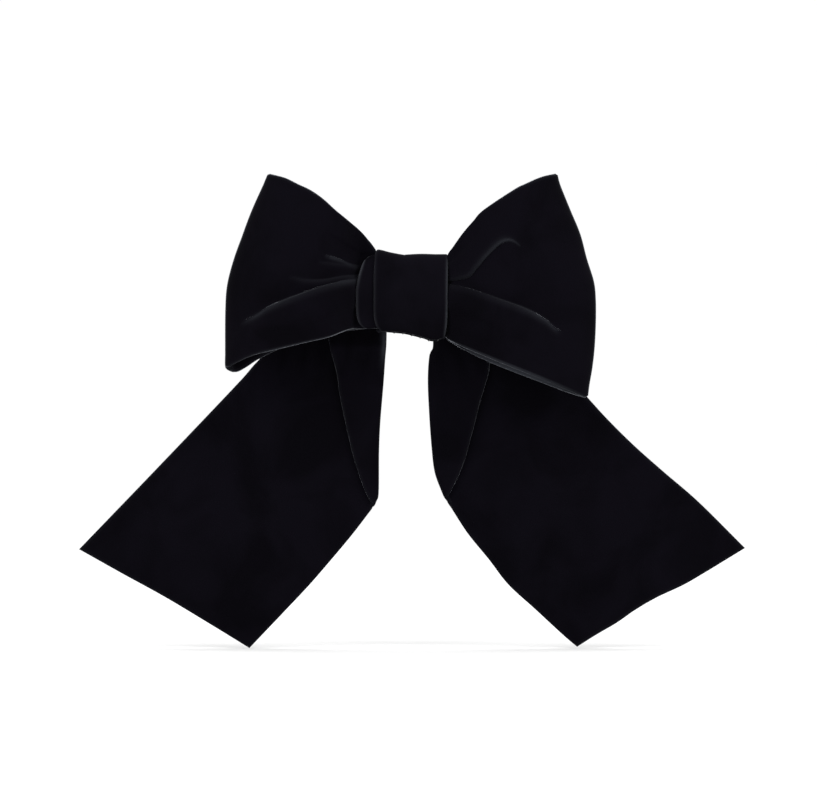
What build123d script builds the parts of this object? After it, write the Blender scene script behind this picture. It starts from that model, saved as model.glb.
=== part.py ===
"""Velvet hair bow on a straight French barrette.

Units are millimetres. +X runs along the barrette, to the right of a viewer in front of the bow,
+Y points from the bow's front towards the wearer's head, and +Z is up as the bow is worn.
The origin is the centre of the hair gap, between the tension spring and the closed clamp arm.
"""

import os

from build123d import *

# ---------------------------------------------------------------- driving dimensions
CLOTH = 2.0                 # thickness of the doubled, turned velvet
CLEAR = 0.3                 # air between soft pieces that move against each other
RUNNING = 0.05              # radial clearance of a pin in its eye

# depth positions of the layers, from the head to the front
ARM_BACK = 3.8              # back face of the closed clamp arm, the face that meets the head
ARM_SHEET = 0.8
SPRING_CREST = -1.9
PLATE_BACK = -4.5
PLATE_SHEET = 0.8
PLATE_FRONT = PLATE_BACK - PLATE_SHEET
FELT_SHEET = 1.5
FELT_FRONT = PLATE_FRONT - FELT_SHEET
TAIL_MID_Y = FELT_FRONT - 0.1 - CLOTH / 2
FLAP_MID_Y = TAIL_MID_Y - CLOTH
KNOT_BACK = FLAP_MID_Y - CLOTH / 2 - CLEAR
KNOT_DEPTH = 17.0
KNOT_FRONT = KNOT_BACK - KNOT_DEPTH

# knot and gathered neck
KNOT_LEFT, KNOT_STEP, KNOT_RIGHT = -18.2, -10.6, 18.2
LOOP_START = KNOT_RIGHT + CLEAR     # where the loops leave the knot, each side
KNOT_TOP, KNOT_BOTTOM = 18.0, -16.5
KNOT_MID_Y = (KNOT_FRONT + KNOT_BACK) / 2
KNOT_MID_Z = (KNOT_TOP + KNOT_BOTTOM) / 2
KNOT_HEIGHT = KNOT_TOP - KNOT_BOTTOM
KNOT_LAYER = 1.1            # one turn of the band; the right of the knot has two turns
THREAD = 0.8                # diameter of the gathering thread
NECK_DEPTH = KNOT_DEPTH - 4 * KNOT_LAYER - 2 * THREAD - 0.4
NECK_HEIGHT = KNOT_HEIGHT - 4 * KNOT_LAYER - 2 * THREAD - 0.4

# loops
LOOP_FRONT = -41.0          # foremost face of the bulging front layer
LOOP_BACK = KNOT_BACK       # rearmost face of the back layer
LOOP_ROOT = 17.0            # where the centre lines start, inside the gathered neck
TALL = 120.0                # longer than anything it cuts

# tails
TAIL_PIVOT_Z = -12.5        # where the sewn top ends and the tail starts to swing
FUSE = 0.02                 # overlap that joins the flap to the panel behind it

# barrette
PLATE_LENGTH, PLATE_WIDTH = 84.0, 9.0
ARM_WIDTH, TONGUE_WIDTH = 6.0, 8.4
PIVOT_X, PIVOT_Y = 35.0, 0.5
PIN_R = 0.8
EYE_R = 1.7
BRACKET_SHEET = 0.7
EAR_Z = 3.6                 # inner face of each hinge ear
TONGUE_MID_Y = 1.4
CATCH_X = -35.75
CATCH_SHEET = 0.6
PRONG_SHEET, PRONG_Z = 0.6, 2.2
PRONG_ROOT_Y = PLATE_BACK + CATCH_SHEET + 0.4
PRONG_TIP_Y = 3.2
RIVET_R, RIVET_HEAD_R, RIVET_HEAD = 1.0, 1.6, 0.6
HINGE_RIVET_X, CATCH_RIVET_X = 32.1, -31.6
SEW_HOLE_R, SEW_HOLE_X, SEW_HOLE_Z = 0.7, 24.0, 3.2
END_HOLE_R, END_HOLE_X = 1.0, 39.8
SEWING_THREAD = 0.7

os.makedirs("parts", exist_ok=True)


def save(part, name):
    """Labels a finished piece and writes its STEP file."""
    part.label = name
    export_step(part, f"parts/{name}.step")


def front_plane(y):
    """A plane parallel to the bow's front at depth y, with local x along +X and local y along +Z."""
    return Plane(origin=(0, y, 0), x_dir=(1, 0, 0), z_dir=(0, -1, 0))


# ---------------------------------------------------------------- loop ribbon
# One doubled length of velvet sewn into a ring and gathered at its middle: a loop each side.
def loop_path(side, reach):
    """The ribbon's centre line from above: the knot's front, round one loop, and the knot's back."""
    front, back = LOOP_FRONT + CLOTH / 2, LOOP_BACK - CLOTH / 2
    outer, bend = side * (reach - CLOTH / 2), 0.48 * (back - front)
    return FilletPolyline(
        (side * LOOP_ROOT, KNOT_MID_Y - 2.5),
        (side * 0.5 * reach, front),
        (outer, front),
        (outer, back),
        (side * 0.5 * reach, back),
        (side * LOOP_ROOT, KNOT_MID_Y + 2.5),
        radius=[bend, bend, bend, 2 * bend],
    )


def loop_ring(side, reach, outline):
    """One loop: a thin wall along its path from above, cut to the ribbon's outline from the front."""
    with BuildPart() as ring:
        with BuildSketch(Plane.XY.offset(-TALL / 2)):
            with BuildLine():
                loop_path(side, reach)
            trace(line_width=CLOTH)
        extrude(amount=TALL)
        with BuildSketch(front_plane(0)):
            with BuildLine():
                Polyline(*outline, close=True)
            make_face()
        extrude(amount=TALL, mode=Mode.INTERSECT)
    return ring.part


LEFT_OUTLINE = [
    (-LOOP_START, 27.5), (-29.4, 36.8), (-40, 44.5), (-53.5, 49.0), (-61, 32.5), (-66.4, 18.8), (-70, 6),
    (-71.2, -6), (-70.8, -28), (-67, -29.5), (-56.8, -24.8), (-40.2, -18.7), (-LOOP_START, -13),
]
RIGHT_OUTLINE = [
    (LOOP_START, 16.5), (23.4, 24.8), (31, 33.5), (44.6, 42.8), (61.4, 49.0), (66, 36.8), (72.8, 18.8),
    (76.2, 4), (77.2, -10), (75.8, -27), (73.6, -40.3), (55.4, -34.1), (35.2, -26.4), (LOOP_START, -17.6),
]

with BuildPart() as loop_ribbon:
    with BuildSketch(Plane.YZ.offset(-LOOP_START - CLOTH / 2)):
        with Locations((KNOT_MID_Y, KNOT_MID_Z)):
            RectangleRounded(NECK_DEPTH, NECK_HEIGHT, NECK_DEPTH / 2 - 0.5)
    extrude(amount=2 * LOOP_START + CLOTH)
    add(loop_ring(-1, 71.2, LEFT_OUTLINE))
    add(loop_ring(1, 77.2, RIGHT_OUTLINE))
save(loop_ribbon.part, "loop_ribbon")

# ---------------------------------------------------------------- gathering thread
# Five turns of strong thread that hold the gathers, hidden under the knot band.
GATHER_TURNS, GATHER_PITCH = 5, 2.0
with BuildPart() as gathering_thread:
    for turn in range(GATHER_TURNS):
        x = (turn - (GATHER_TURNS - 1) / 2) * GATHER_PITCH
        with BuildSketch(Plane.YZ.offset(x - THREAD / 2)):
            with Locations((KNOT_MID_Y, KNOT_MID_Z)):
                RectangleRounded(
                    NECK_DEPTH + 2 * THREAD + 0.1, NECK_HEIGHT + 2 * THREAD + 0.1, NECK_DEPTH / 2
                )
                RectangleRounded(
                    NECK_DEPTH + 0.1, NECK_HEIGHT + 0.1, NECK_DEPTH / 2 - 0.5, mode=Mode.SUBTRACT
                )
        extrude(amount=THREAD)
save(gathering_thread.part, "gathering_thread")


# ---------------------------------------------------------------- knot band
# A folded strip wrapped round the gathers: one turn shows at the left, the second covers the rest.
def sleeve(start, end, outside, inside):
    """A rounded sleeve along X between two positions, its outside and inside taken in by these layers."""
    with BuildPart() as wrap:
        with BuildSketch(Plane.YZ.offset(start)):
            with Locations((KNOT_MID_Y, KNOT_MID_Z)):
                RectangleRounded(
                    KNOT_DEPTH - 2 * outside, KNOT_HEIGHT - 2 * outside, KNOT_DEPTH / 2 - outside - 1
                )
                RectangleRounded(
                    KNOT_DEPTH - 2 * inside,
                    KNOT_HEIGHT - 2 * inside,
                    KNOT_DEPTH / 2 - inside - 0.5,
                    mode=Mode.SUBTRACT,
                )
        extrude(amount=end - start)
    return wrap.part


with BuildPart() as knot_band:
    add(sleeve(KNOT_LEFT, KNOT_RIGHT, KNOT_LAYER, 2 * KNOT_LAYER))
    add(sleeve(KNOT_STEP, KNOT_RIGHT, 0, KNOT_LAYER))
save(knot_band.part, "knot_band")

# Slip stitches that close the band, along the middle of its bottom.
STITCH_COUNT, STITCH_LENGTH, STITCH_R = 7, 2.4, 0.3
with BuildPart() as knot_stitches:
    for stitch in range(STITCH_COUNT):
        x = KNOT_STEP + 4 + stitch * (KNOT_RIGHT - KNOT_STEP - 8) / (STITCH_COUNT - 1)
        with BuildSketch(Plane.XZ.offset(-KNOT_MID_Y - STITCH_LENGTH / 2)):
            with Locations((x, KNOT_BOTTOM - 0.5 * STITCH_R)):
                Circle(STITCH_R)
        extrude(amount=STITCH_LENGTH)
save(knot_stitches.part, "knot_stitches")


# ---------------------------------------------------------------- tails
# Two doubled lengths sewn behind the knot. Each has its inner edge turned over to the front.
def hanging_slab(mid_y):
    """A slab of cloth that hangs from the pivot line with a slight sway, as wide as both tails."""
    with BuildPart() as slab:
        with BuildSketch(Plane.YZ.offset(-1.2 * TALL)):
            with BuildLine():
                Spline(
                    (mid_y, TAIL_PIVOT_Z),
                    (mid_y + 0.8, -45),
                    (mid_y + 1.0, -90),
                    (mid_y - 1.0, -142),
                    tangents=[(0, -1), (-0.08, -1)],
                )
            trace(line_width=CLOTH)
            with Locations((mid_y, TAIL_PIVOT_Z)):
                Circle(CLOTH / 2)
        extrude(amount=2.4 * TALL)
    return slab.part


def sewn_slab(mid_y):
    """The flat slab of cloth above the pivot line, where the tails are sewn down."""
    low = TAIL_PIVOT_Z + CLOTH / 2 + CLEAR
    with BuildPart() as slab:
        with BuildSketch(Plane.XY.offset(low)):
            with Locations((0, mid_y)):
                Rectangle(TALL, CLOTH)
        extrude(amount=TALL)
    return slab.part


def two_layers(slab, panel, flap):
    """The main panel with the turned-over flap lying on its front, both cut from slabs of cloth."""
    with BuildPart() as back_layer:
        add(slab(TAIL_MID_Y))
        with BuildSketch(front_plane(0)):
            with BuildLine():
                panel()
            make_face()
        extrude(amount=TALL, mode=Mode.INTERSECT)
    with BuildPart() as front_layer:
        add(slab(FLAP_MID_Y + FUSE))
        with BuildSketch(front_plane(0)):
            with BuildLine():
                flap()
            make_face()
        extrude(amount=TALL, mode=Mode.INTERSECT)
    with BuildPart() as both:
        add(back_layer)
        add(front_layer)
    return both.part


PANEL_TOP, FLAP_TOP = 10.0, 8.0     # the gathered tops end behind the knot
LEFT_INNER = [(-6.6, PANEL_TOP), (-6.6, -14.4), (-8.6, -46.2), (-9.6, -76.6)]
RIGHT_INNER = [(9.0, PANEL_TOP), (9.8, -20), (11.3, -49.2), (12.8, -69)]


def left_panel():
    inner = Spline(*LEFT_INNER)
    corner = Spline(inner @ 1, (-10.8, -81.8), (-14.7, -87), tangents=[(0, -1), (-0.66, -0.75)])
    Polyline(corner @ 1, (-61.1, -140.3), (-129.2, -100.8), (-44, -12.5), (-20, PANEL_TOP), inner @ 0)


def left_flap():
    inner = Spline(*LEFT_INNER)
    turn = Line(inner @ 1, (-11.6, -83))
    edge = Spline(turn @ 1, (-18.6, -68), (-25.4, -37.6), (-29.4, -17.6), (-24, FLAP_TOP))
    Polyline(edge @ 1, (-10, PANEL_TOP), inner @ 0)


def right_panel():
    inner = Spline(*RIGHT_INNER)
    corner = Spline(inner @ 1, (16, -78.2), (21, -87.4), (44.9, -117.7), (69.7, -139.8))
    outer = [(100, -121.2), (136.4, -100), (96.3, -63.5), (49.4, -12.5), (22, PANEL_TOP)]
    Polyline(corner @ 1, *outer, inner @ 0)


def right_flap():
    inner = Spline(*RIGHT_INNER)
    turn = Line(inner @ 1, (17.3, -80.5))
    edge = Spline(turn @ 1, (24.2, -67.2), (31.1, -43.2), (35.2, -26.8), (28, FLAP_TOP))
    Polyline(edge @ 1, (14, PANEL_TOP), inner @ 0)


for side, panel, flap in (("left", left_panel, left_flap), ("right", right_panel, right_flap)):
    save(two_layers(hanging_slab, panel, flap), f"tail_{side}")
    save(two_layers(sewn_slab, panel, flap), f"tail_{side}_top")

# ---------------------------------------------------------------- felt pad and its stitches
FELT_LENGTH, FELT_WIDTH, FELT_CORNER = 89.0, 16.0, 6.0
with BuildPart() as felt_pad:
    with BuildSketch(front_plane(PLATE_FRONT)):
        RectangleRounded(FELT_LENGTH, FELT_WIDTH, FELT_CORNER)
    extrude(amount=FELT_SHEET)
save(felt_pad.part, "felt_pad")


def staple(hole, outside, height, plane):
    """One stitch: up through a hole of the plate, over its edge and back into the felt."""
    low = PLATE_FRONT - 0.7
    with BuildPart() as loop:
        with BuildLine(plane) as route:
            FilletPolyline(
                (hole, low), (hole, height), (outside, height), (outside, low), radius=0.5
            )
        with BuildSketch(Plane(origin=route.line @ 0, z_dir=route.line % 0)):
            Circle(SEWING_THREAD / 2)
        sweep()
    return loop.part


with BuildPart() as mounting_stitches:
    over = PLATE_BACK + SEWING_THREAD / 2 + 0.05
    beside = SEWING_THREAD / 2 + 0.2
    for along in (-1, 1):
        for across in (-1, 1):
            plane = Plane(
                origin=(along * SEW_HOLE_X, 0, 0), x_dir=(0, 0, across), z_dir=(-across, 0, 0)
            )
            add(staple(SEW_HOLE_Z, PLATE_WIDTH / 2 + beside, over, plane))
        plane = Plane(origin=(0, 0, 0), x_dir=(along, 0, 0), z_dir=(0, 0, along))
        add(staple(END_HOLE_X, PLATE_LENGTH / 2 + beside, over, plane))
save(mounting_stitches.part, "mounting_stitches")

# ---------------------------------------------------------------- barrette: the fixed metal
with BuildPart() as base_plate:
    with BuildSketch(front_plane(PLATE_BACK)):
        RectangleRounded(PLATE_LENGTH, PLATE_WIDTH, 3.5)
        with GridLocations(2 * SEW_HOLE_X, 2 * SEW_HOLE_Z, 2, 2):
            Circle(SEW_HOLE_R, mode=Mode.SUBTRACT)
        with GridLocations(2 * END_HOLE_X, 0, 2, 1):
            Circle(END_HOLE_R, mode=Mode.SUBTRACT)
        with Locations((HINGE_RIVET_X, 0), (CATCH_RIVET_X, 0)):
            Circle(RIVET_R + RUNNING, mode=Mode.SUBTRACT)
    extrude(amount=PLATE_SHEET)
save(base_plate.part, "base_plate")

BRIDGE_FROM, BRIDGE_TO = 30.2, 37.6
with BuildPart() as hinge_bracket:
    with BuildSketch(front_plane(PLATE_BACK + BRACKET_SHEET)):
        with Locations(((BRIDGE_FROM + BRIDGE_TO) / 2, 0)):
            Rectangle(BRIDGE_TO - BRIDGE_FROM, 2 * (EAR_Z + BRACKET_SHEET))
        with Locations((HINGE_RIVET_X, 0)):
            Circle(RIVET_R + RUNNING, mode=Mode.SUBTRACT)
    extrude(amount=BRACKET_SHEET)
    for ear_start in (EAR_Z, -EAR_Z - BRACKET_SHEET):
        with BuildSketch(Plane.XY.offset(ear_start)):
            with Locations((PIVOT_X, PIVOT_Y)):
                Circle(2.1)
            with Locations((PIVOT_X, (PLATE_BACK + PIVOT_Y) / 2)):
                Rectangle(4.2, PIVOT_Y - PLATE_BACK)
            with Locations((PIVOT_X, PIVOT_Y)):
                Circle(PIN_R + RUNNING, mode=Mode.SUBTRACT)
        extrude(amount=BRACKET_SHEET)
save(hinge_bracket.part, "hinge_bracket")


def rivet(x, top):
    """A rivet set flush on the plate's front, with its round head on a bracket whose back is at top."""
    with BuildPart() as part:
        with BuildSketch(front_plane(top)):
            with Locations((x, 0)):
                Circle(RIVET_R)
        extrude(amount=top - PLATE_FRONT)
        with BuildSketch(front_plane(top + RIVET_HEAD)):
            with Locations((x, 0)):
                Circle(RIVET_HEAD_R)
        extrude(amount=RIVET_HEAD)
        dome = part.edges().filter_by(GeomType.CIRCLE).sort_by(Axis.Y)[-1]
        fillet(dome, 0.4)
    return part.part


save(rivet(HINGE_RIVET_X, PLATE_BACK + BRACKET_SHEET), "hinge_rivet")
save(rivet(CATCH_RIVET_X, PLATE_BACK + CATCH_SHEET), "catch_rivet")

PIN_HEAD_R, PIN_HEAD = 1.3, 0.5
with BuildPart() as hinge_pin:
    half = EAR_Z + BRACKET_SHEET + RUNNING
    with BuildSketch(Plane.XY.offset(-half)):
        with Locations((PIVOT_X, PIVOT_Y)):
            Circle(PIN_R)
    extrude(amount=2 * half)
    for head_start in (half, -half - PIN_HEAD):
        with BuildSketch(Plane.XY.offset(head_start)):
            with Locations((PIVOT_X, PIVOT_Y)):
                Circle(PIN_HEAD_R)
        extrude(amount=PIN_HEAD)
    rims = hinge_pin.edges().filter_by(GeomType.CIRCLE).sort_by(Axis.Z)
    fillet([rims[0], rims[-1]], 0.3)
save(hinge_pin.part, "hinge_pin")

CATCH_FROM, CATCH_TO = -38.4, -29.8
with BuildPart() as catch_base:
    with BuildSketch(front_plane(PLATE_BACK + CATCH_SHEET)):
        with Locations(((CATCH_FROM + CATCH_TO) / 2, 0)):
            RectangleRounded(CATCH_TO - CATCH_FROM, 7.2, 0.8)
        with Locations((CATCH_RIVET_X, 0)):
            Circle(RIVET_R + RUNNING, mode=Mode.SUBTRACT)
    extrude(amount=CATCH_SHEET)
save(catch_base.part, "catch_base")

# ---------------------------------------------------------------- barrette: the moving metal
# Clamp arm: rolled eye, raised flat middle, tongue with a window, and a finger lip.
ARM_MID_Y = ARM_BACK - ARM_SHEET / 2
WINDOW_FROM, WINDOW_TO, WINDOW_Z = -38.6, -32.9, 3.0
with BuildPart() as clamp_arm:
    with BuildSketch(Plane.XY.offset(-TONGUE_WIDTH / 2)):
        with BuildLine():
            strip = FilletPolyline(
                (PIVOT_X, PIVOT_Y + EYE_R - ARM_SHEET / 2),
                (31.5, PIVOT_Y + EYE_R - ARM_SHEET / 2),
                (27.5, ARM_MID_Y),
                (-27.0, ARM_MID_Y),
                (-30.5, TONGUE_MID_Y),
                (-40.4, TONGUE_MID_Y),
                (-42.2, TONGUE_MID_Y + 1.6),
                radius=1.0,
            )
        trace(line_width=ARM_SHEET)
        with Locations((PIVOT_X, PIVOT_Y)):
            Circle(EYE_R)
            Circle(PIN_R + RUNNING, mode=Mode.SUBTRACT)
    extrude(amount=TONGUE_WIDTH)
    with BuildSketch(front_plane(ARM_BACK + 1)):
        with Locations((0, 0)):
            Rectangle(2 * PIVOT_X + 2 * EYE_R, ARM_WIDTH)
        with Locations((-36.8, 0)):
            RectangleRounded(12.6, TONGUE_WIDTH, 1.5)
    extrude(amount=TALL, mode=Mode.INTERSECT)
    with BuildSketch(front_plane(ARM_BACK + 1)):
        with Locations(((WINDOW_FROM + WINDOW_TO) / 2, 0)):
            Rectangle(WINDOW_TO - WINDOW_FROM, 2 * WINDOW_Z)
    extrude(amount=TALL, mode=Mode.SUBTRACT)
save(clamp_arm.part, "clamp_arm")

# Tension spring: a thin bowed leaf that presses the hair against the arm.
SPRING_SHEET, SPRING_WIDTH, CURL_R = 0.35, 5.0, 0.7
SPRING_PIVOT_X, SPRING_PIVOT_Y = 29.0, PLATE_BACK + CURL_R + 0.1
SPRING_MID = SPRING_CREST - SPRING_SHEET / 2
with BuildPart() as tension_spring:
    with BuildSketch(Plane.XY.offset(-SPRING_WIDTH / 2)):
        with BuildLine():
            Spline(
                (SPRING_PIVOT_X, SPRING_PIVOT_Y + CURL_R - SPRING_SHEET / 2),
                (0, SPRING_MID),
                (-28.0, PLATE_BACK + SPRING_SHEET),
                tangents=[(-1, 0.06), (-1, -0.1)],
            )
        trace(line_width=SPRING_SHEET)
        with Locations((SPRING_PIVOT_X, SPRING_PIVOT_Y)):
            Circle(CURL_R)
    extrude(amount=SPRING_WIDTH)
save(tension_spring.part, "tension_spring")

# Catch prongs: two spring leaves that snap through the arm's window. Their ears are squeezed to open.
PRONG_LENGTH, BARB = 4.4, 0.42
PRONG_OUTER = PRONG_Z + PRONG_SHEET / 2
EAR_Y, EAR_OUT, EAR_PAD = -1.4, 6.6, 2.2


def prong(up):
    """One prong, drawn from the end of the barrette: root, leaf, barb past the tongue, and finger ear."""
    with BuildPart() as leaf:
        with BuildSketch(Plane.YZ.offset(CATCH_X - PRONG_LENGTH / 2)):
            with Locations((PRONG_ROOT_Y, up * PRONG_Z)):
                Circle(PRONG_SHEET / 2)
            with Locations(((PRONG_ROOT_Y + PRONG_TIP_Y) / 2, up * PRONG_Z)):
                Rectangle(PRONG_TIP_Y - PRONG_ROOT_Y, PRONG_SHEET)
            with BuildLine():
                Polyline(
                    (TONGUE_MID_Y + 0.5, up * PRONG_OUTER),
                    (TONGUE_MID_Y + 0.8, up * (PRONG_OUTER + BARB)),
                    (PRONG_TIP_Y - 0.2, up * PRONG_OUTER),
                    close=True,
                )
            make_face()
            with Locations((EAR_Y, up * (PRONG_Z + EAR_OUT) / 2)):
                Rectangle(PRONG_SHEET, EAR_OUT - PRONG_Z)
            with Locations((EAR_Y + (EAR_PAD - PRONG_SHEET) / 2, up * (EAR_OUT - PRONG_SHEET / 2))):
                Rectangle(EAR_PAD, PRONG_SHEET)
        extrude(amount=PRONG_LENGTH)
    return leaf.part


save(prong(1), "catch_prong_upper")
save(prong(-1), "catch_prong_lower")
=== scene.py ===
import math

import bmesh
import bpy
import numpy as np
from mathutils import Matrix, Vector


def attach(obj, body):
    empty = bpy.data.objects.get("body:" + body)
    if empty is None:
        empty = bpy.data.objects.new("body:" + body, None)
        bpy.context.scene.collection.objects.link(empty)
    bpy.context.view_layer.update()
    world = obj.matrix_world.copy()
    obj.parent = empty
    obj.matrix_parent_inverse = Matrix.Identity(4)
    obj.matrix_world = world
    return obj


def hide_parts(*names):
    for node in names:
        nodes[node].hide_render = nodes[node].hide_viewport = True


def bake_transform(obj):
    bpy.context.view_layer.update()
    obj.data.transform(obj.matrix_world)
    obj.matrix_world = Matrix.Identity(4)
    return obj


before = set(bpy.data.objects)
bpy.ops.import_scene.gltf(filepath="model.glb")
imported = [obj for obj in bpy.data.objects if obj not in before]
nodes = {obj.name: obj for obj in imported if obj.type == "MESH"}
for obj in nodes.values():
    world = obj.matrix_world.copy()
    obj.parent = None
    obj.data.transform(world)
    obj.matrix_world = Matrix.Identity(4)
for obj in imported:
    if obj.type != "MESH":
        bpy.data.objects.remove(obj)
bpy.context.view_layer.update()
mm = 0.001

# ------------------------------------------------------------------ camera, floor and light
# A straight view from in front through a long lens, a white sweep, and soft white light from
# all round with two large softboxes that graze the pile.
scene = bpy.context.scene
scene.view_settings.view_transform = "Standard"
scene.view_settings.look = "None"

VIEW_CENTRE = Vector((2.4, -20.0, -41.2)) * mm
VIEW_WIDTH = 326.8 * mm
VIEW_DISTANCE = 2.6
SENSOR = 36.0

camera_data = bpy.data.cameras.new("front_camera")
camera_data.sensor_width = SENSOR
camera_data.lens = SENSOR * VIEW_DISTANCE / VIEW_WIDTH
camera_data.clip_end = 20.0
camera = bpy.data.objects.new("front_camera", camera_data)
camera.location = VIEW_CENTRE + Vector((0, -VIEW_DISTANCE, 0))
camera.rotation_euler = (math.pi / 2, 0, 0)
scene.collection.objects.link(camera)
scene.camera = camera

world = bpy.data.worlds.new("white_room")
world.use_nodes = True
world.node_tree.nodes["Background"].inputs["Color"].default_value = (1, 1, 1, 1)
world.node_tree.nodes["Background"].inputs["Strength"].default_value = 1.01
scene.world = world


def new_material(name):
    """A new material, with its node tree and its shader."""
    material = bpy.data.materials.new(name)
    material.use_nodes = True
    return material, material.node_tree, material.node_tree.nodes["Principled BSDF"]


def set_inputs(tree, node, inputs):
    """Gives each named input of a node its value, or joins it to another node's output."""
    for name, value in inputs.items():
        if isinstance(value, bpy.types.NodeSocket):
            tree.links.new(value, node.inputs[name])
        else:
            node.inputs[name].default_value = value


def add_node(tree, kind, inputs, output, **settings):
    """A new shader node with its settings and inputs. Returns the output that is used."""
    node = tree.nodes.new(f"ShaderNode{kind}")
    for name, value in settings.items():
        setattr(node, name, value)
    set_inputs(tree, node, inputs)
    return node.outputs[output]


FLOOR_Z = -140.9 * mm
FLOOR_SIZE = 6.0
FLOOR_TONE = 0.74               # the sweep glows a little towards its far edges, which keeps it white
FLOOR_GLOW = 1.02 - FLOOR_TONE
bpy.ops.object.select_all(action="DESELECT")
bpy.ops.mesh.primitive_plane_add(size=FLOOR_SIZE, location=(0, 0, FLOOR_Z))
floor = bpy.context.object
floor.name = "floor"
floor_material, floor_tree, floor_shader = new_material("white_floor")
floor_place = add_node(floor_tree, "TexCoord", {}, "Object")
floor_far = add_node(floor_tree, "VectorMath", {0: floor_place}, "Value", operation="LENGTH")
floor_glow = add_node(floor_tree, "MapRange", {
    "Value": floor_far, "From Min": 0.25, "From Max": 1.4, "To Min": 0.0, "To Max": FLOOR_GLOW,
}, "Result")
set_inputs(floor_tree, floor_shader, {
    "Base Color": (*[FLOOR_TONE] * 3, 1),
    "Roughness": 0.9,
    "Specular IOR Level": 0.0,
    "Emission Color": (1, 1, 1, 1),
    "Emission Strength": floor_glow,
})
floor.data.materials.append(floor_material)


def softbox(name, place, aim, size, power):
    """A large square area light that points at a place on the object."""
    data = bpy.data.lights.new(name, "AREA")
    data.shape = "SQUARE"
    data.size = size
    data.energy = power
    light = bpy.data.objects.new(name, data)
    light.location = place
    light.rotation_euler = (Vector(aim) - Vector(place)).to_track_quat("-Z", "Y").to_euler()
    scene.collection.objects.link(light)


softbox("softbox_left", (-0.9, -0.9, 0.7), (0, 0, -0.04), 0.8, 9)
softbox("softbox_right", (0.9, -0.9, 0.7), (0, 0, -0.04), 0.8, 9)
softbox("softbox_above", (0, 0.3, 1.3), (0, 0, -0.1), 1.0, 9)


# ------------------------------------------------------------------ loop ribbon
# One long velvet ribbon, doubled and turned so that both faces have pile, sewn into a ring,
# pinched flat at its middle and pushed out into a full loop at each side of the knot.
CLOTH_HALF = 0.95 * mm          # half the thickness of the doubled velvet
SEAM_EXTRA = 0.2 * mm           # the turned allowance makes the edge a little thicker
SEAM_WIDTH = 5.0 * mm
SEAM_GROOVE = 0.3 * mm          # how deep the closed seam lies along the edge
EDGE_SHEEN_REACH = 0.75 * mm           # how far in from an edge the painted sheen reaches
EDGE_ROUND = 1.2                # the turned edge rounds over within this many half thicknesses


def smooth_line(points, count=240):
    """A Catmull-Rom curve through the given points, as a dense line."""
    p = np.array(points, float)
    p = np.vstack([2 * p[0] - p[1], p, 2 * p[-1] - p[-2]])
    steps = np.linspace(0, len(p) - 3, count)
    i = np.minimum(steps.astype(int), len(p) - 4)
    t = (steps - i)[:, None]
    a, b, c, d = p[i], p[i + 1], p[i + 2], p[i + 3]
    return 0.5 * (2 * b + (c - a) * t + (2 * a - 5 * b + 4 * c - d) * t**2 + (3 * b - a - 3 * c + d) * t**3)


def along(line, x):
    """The second coordinate of a line at a first coordinate, for a line that runs one way."""
    order = np.argsort(line[:, 0])
    return np.interp(x, line[order, 0], line[order, 1])


def evenly(line, count):
    """Points at equal distances along a line, ends included."""
    far = np.r_[0, np.cumsum(np.linalg.norm(np.diff(line, axis=0), axis=1))]
    where = np.linspace(0, far[-1], count) if np.isscalar(count) else np.asarray(count) * far[-1]
    return np.stack([np.interp(where, far, line[:, k]) for k in range(line.shape[1])], axis=1)


def soft_step(t):
    """0 well below zero, 1 well above it, and smooth between."""
    return 0.5 * (1 + np.tanh(t))


def unit(v):
    return v / np.maximum(np.linalg.norm(v, axis=-1, keepdims=True), 1e-12)


def finished_piece(mesh):
    """A smooth piece made of a closed mesh, with its faces turned outwards."""
    mesh.polygons.foreach_set("use_smooth", [True] * len(mesh.polygons))
    work = bmesh.new()
    work.from_mesh(mesh)
    bmesh.ops.recalc_face_normals(work, faces=work.faces)
    work.to_mesh(mesh)
    work.free()
    piece = bpy.data.objects.new(mesh.name, mesh)
    scene.collection.objects.link(piece)
    return piece


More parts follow.
